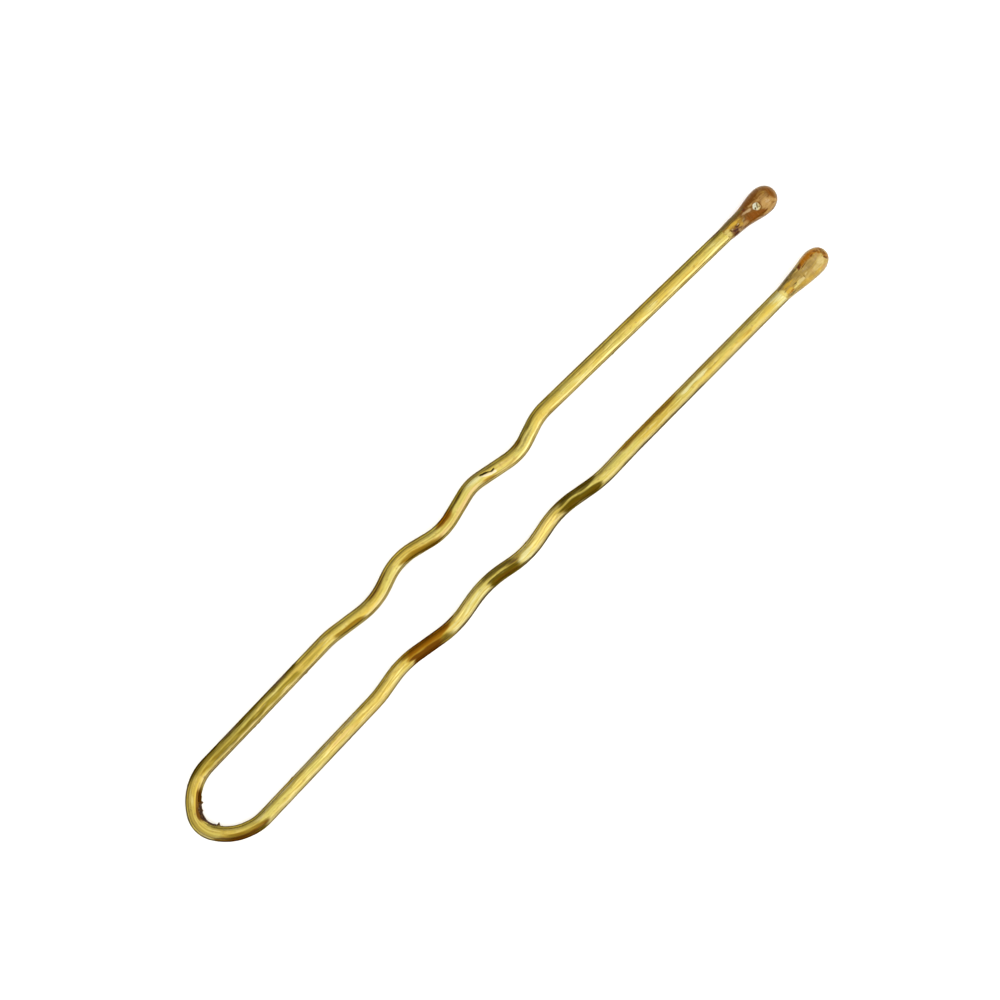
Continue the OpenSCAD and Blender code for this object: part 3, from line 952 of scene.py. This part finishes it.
def add_bubble(skin, fields):
    """Sinks the broken bubble with its slits into the skin and colours it."""
    at, off, size, deep = BUBBLE
    rim_at, rim_width = RIM
    bearing = np.arctan2(skin.across - off, skin.u - at)
    apart = np.hypot(skin.u - at, skin.across - off) / size * (1 + 1.6 * skin.stray_u)
    outline = np.ones(len(skin.u))
    for waves, share, phase in OUTLINE_WAVES:
        outline += share * np.cos(waves * bearing + phase)
    apart *= outline
    top = fade(np.cos(skin.angle), -0.2, 0.3)
    hole = (1 - fade(apart, *WALL)) * top
    rim = np.exp(-((apart - rim_at) / rim_width) ** 2) * top
    # Painted shade: the side of the hollow away from the light, towards the tip and the plus side
    shaded_side = fade(skin.u - at + skin.across - off, -0.2, 0.3)
    slits = np.max([blot(skin.u, skin.across, slit) for slit in SLITS], axis=0)
    skin.r = skin.r - deep * hole * (1 + 0.8 * slits) + RIM_H * rim
    for finish in fields:
        fields[finish] = fields[finish] * (1 - hole)
    # Painted light and shade in the hollow: pale frost on its lit side, cream and a burnt rim on its
    # shaded side
    fields["frost"] = np.maximum(fields["frost"], hole * (1 - 0.75 * shaded_side))
    fields["cream"] = np.maximum(fields["cream"], hole * shaded_side)
    fields["olive"] = np.maximum(fields["olive"], slits * hole)
    fields["burnt"] = np.maximum(fields["burnt"], 0.8 * rim * shaded_side)


def drop_finishes(skin, side):
    """How strongly each finish shows at each point of the skin, how clear the resin is there, and how
    strongly the painted shade on its flanks shows."""
    seen = 0.35 + 0.65 * fade(np.cos(skin.angle), -0.6, 0.3)
    fields = {finish: np.zeros(len(skin.u)) for finish in RESIN_STAINS_AND_PAINTED_LIGHT}
    for finish, *mark, strength in DROP_MARKS[side]:
        patch = blot(skin.u + skin.stray_u, skin.across + skin.stray_across, mark)
        fields[finish] = np.maximum(fields[finish], strength * patch * seen)
    if side == LEFT:
        add_bubble(skin, fields)
    marked = np.max(list(fields.values()), axis=0)
    fields["clear"] = (0.10 + 0.35 * (1 - fade(skin.u, 0.9, 1.9))) * (1 - 0.8 * marked)
    # Painted shade on the flanks of the drop, stronger towards its bulb
    painted_flank_shade = 1 - fade(np.abs(skin.upright) + skin.stray_across, 0.05, 0.50)
    fields["skin"] = (0.4 + 0.4 * fade(skin.u, 1.4, 2.4)) * painted_flank_shade
    return fields


def make_drop(name, side):
    skin = DropSkin(side)
    fields = drop_finishes(skin, side)
    end, heading = path.at([path.ends[side]])
    heading = heading[0] + (math.pi if side == LEFT else 0)
    neck = end[0] - DROP_GRIP * np.array([math.cos(heading), math.sin(heading)])
    lean = heading - side * math.radians(DROP_LEAN[side])
    axis = np.array([math.cos(lean), math.sin(lean)])
    base, ahead = lifted(np.array([neck, neck + axis]))
    forward = unit(ahead - base)
    lower = np.cross(forward, plane_up)

    belly = BELLY[side] * np.sin(np.clip((skin.rings - BELLY_START) / BELLY_L, 0, 1) * math.pi) ** 2
    out = np.sin(skin.angle)[:, None] * lower + np.cos(skin.angle)[:, None] * plane_up
    middle = base + skin.u[:, None] * forward + np.repeat(belly, DROP_SIDES)[:, None] * lower
    first, last = skin.rings[0], skin.length
    vertices = np.vstack([middle + out * skin.r[:, None], [base + first * forward, base + last * forward]])
    piece = new_piece(name, vertices, tube_faces(len(skin.rings), DROP_SIDES))
    write_place(piece, "drop_place", np.vstack([skin.place, [[first, 0, 0], [last, 0, 0]]]))
    for finish, values in fields.items():
        write_field(piece, finish, np.append(values, [values[0], values[-1]]))
    return piece


# The pieces
wire = make_wire()
wire.data.materials.append(brass())
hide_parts("wire")
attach(wire, "root")

left_drop = make_drop("left_drop_resin", LEFT)
# skin is the colour of the painted shade on the drop's flanks
brown_amber = resin("brown_amber", light=(0.29, 0.170, 0.048), deep=(0.20, 0.092, 0.014),
                    skin=(0.11, 0.065, 0.022), ringed=0.10)
left_drop.data.materials.append(brown_amber)
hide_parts("left_tip_drop")
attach(left_drop, "root")

right_drop = make_drop("right_drop_resin", RIGHT)
# skin is the colour of the painted shade on the drop's flanks
honey_amber = resin("honey_amber", light=(0.49, 0.370, 0.130), deep=(0.37, 0.260, 0.075),
                    skin=(0.14, 0.100, 0.042), ringed=0.28)
right_drop.data.materials.append(honey_amber)
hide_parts("right_tip_drop")
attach(right_drop, "root")

# The floor, which gives off a little light of its own, as the photo's background is pure white
FLOOR_SIZE = 3
FLOOR_Z = -0.00002
FLOOR_GREY = (0.88, 0.88, 0.88, 1.0)
FLOOR_GLOW = 0.16
bpy.ops.mesh.primitive_plane_add(size=FLOOR_SIZE, location=(0, 0, FLOOR_Z))
floor = bpy.context.object
floor.name = "floor"
paper = Material("pale_floor")
paper.set(Base_Color=FLOOR_GREY, Roughness=0.9)
paper.set(Emission_Color=(1.0, 1.0, 1.0, 1.0), Emission_Strength=FLOOR_GLOW)
floor.data.materials.append(paper.made)

# The light: softboxes that lie over each other, each a little above the last and reaching less far, so
# that it fades in steps. Their reach is counted from straight above the pin, in heights: u across the
# pin, with plus to the photo's lower right, and v along it, with plus to the tips. The last number is
# how bright the box is, and U_HEADING is the heading of u in the photo.
LIGHT_H = 1.0
LIGHT_GAP = 0.02
U_HEADING = math.radians(-47)
SOFTBOXES = [
    ((-3.0, 10.0), (-2.40, 3.0), 0.18),
    ((-1.3, 10.0), (-1.50, 3.0), 0.20),
    ((-0.75, 10.0), (-0.45, 3.0), 0.22),
    ((0.20, 10.0), (-0.30, 3.0), 0.18),
]
light_turn = U_HEADING - PHOTO_HEADING
turn_cos, turn_sin = math.cos(light_turn), math.sin(light_turn)
for number, ((u_low, u_high), (v_low, v_high), level) in enumerate(SOFTBOXES):
    light = bpy.data.lights.new("softbox_%d" % number, "AREA")
    light.shape = "RECTANGLE"
    light.size = (u_high - u_low) * LIGHT_H
    light.size_y = (v_high - v_low) * LIGHT_H
    light.energy = level * math.pi * light.size * light.size_y
    lamp = bpy.data.objects.new(light.name, light)
    bpy.context.scene.collection.objects.link(lamp)
    u, v = (u_low + u_high) / 2 * LIGHT_H, (v_low + v_high) / 2 * LIGHT_H
    height = LIGHT_H + LIGHT_GAP * number
    lamp.location = (u * turn_cos - v * turn_sin, u * turn_sin + v * turn_cos, height)
    lamp.rotation_euler = (0, 0, light_turn)
    lamp.visible_camera = False

# The light from all round
SKY_COLOUR = (1.0, 0.98, 0.95, 1.0)
SKY_STRENGTH = 0.56
world = bpy.data.worlds.new("studio")
bpy.context.scene.world = world
world.use_nodes = True
world.node_tree.nodes["Background"].inputs["Color"].default_value = SKY_COLOUR
world.node_tree.nodes["Background"].inputs["Strength"].default_value = SKY_STRENGTH

# The camera
lens = bpy.data.cameras.new("camera")
lens.sensor_width = SENSOR
lens.lens = SENSOR * CAMERA_HEIGHT / (PHOTO_WIDTH * MM)
camera = bpy.data.objects.new("camera", lens)
bpy.context.scene.collection.objects.link(camera)
camera.location = (PHOTO_CENTRE[0] * MM, PHOTO_CENTRE[1] * MM, CAMERA_HEIGHT)
camera.rotation_euler = (0, 0, -PHOTO_HEADING)
bpy.context.scene.camera = camera
bpy.context.scene.view_settings.view_transform = "Standard"
bpy.context.scene.view_settings.look = "High Contrast"
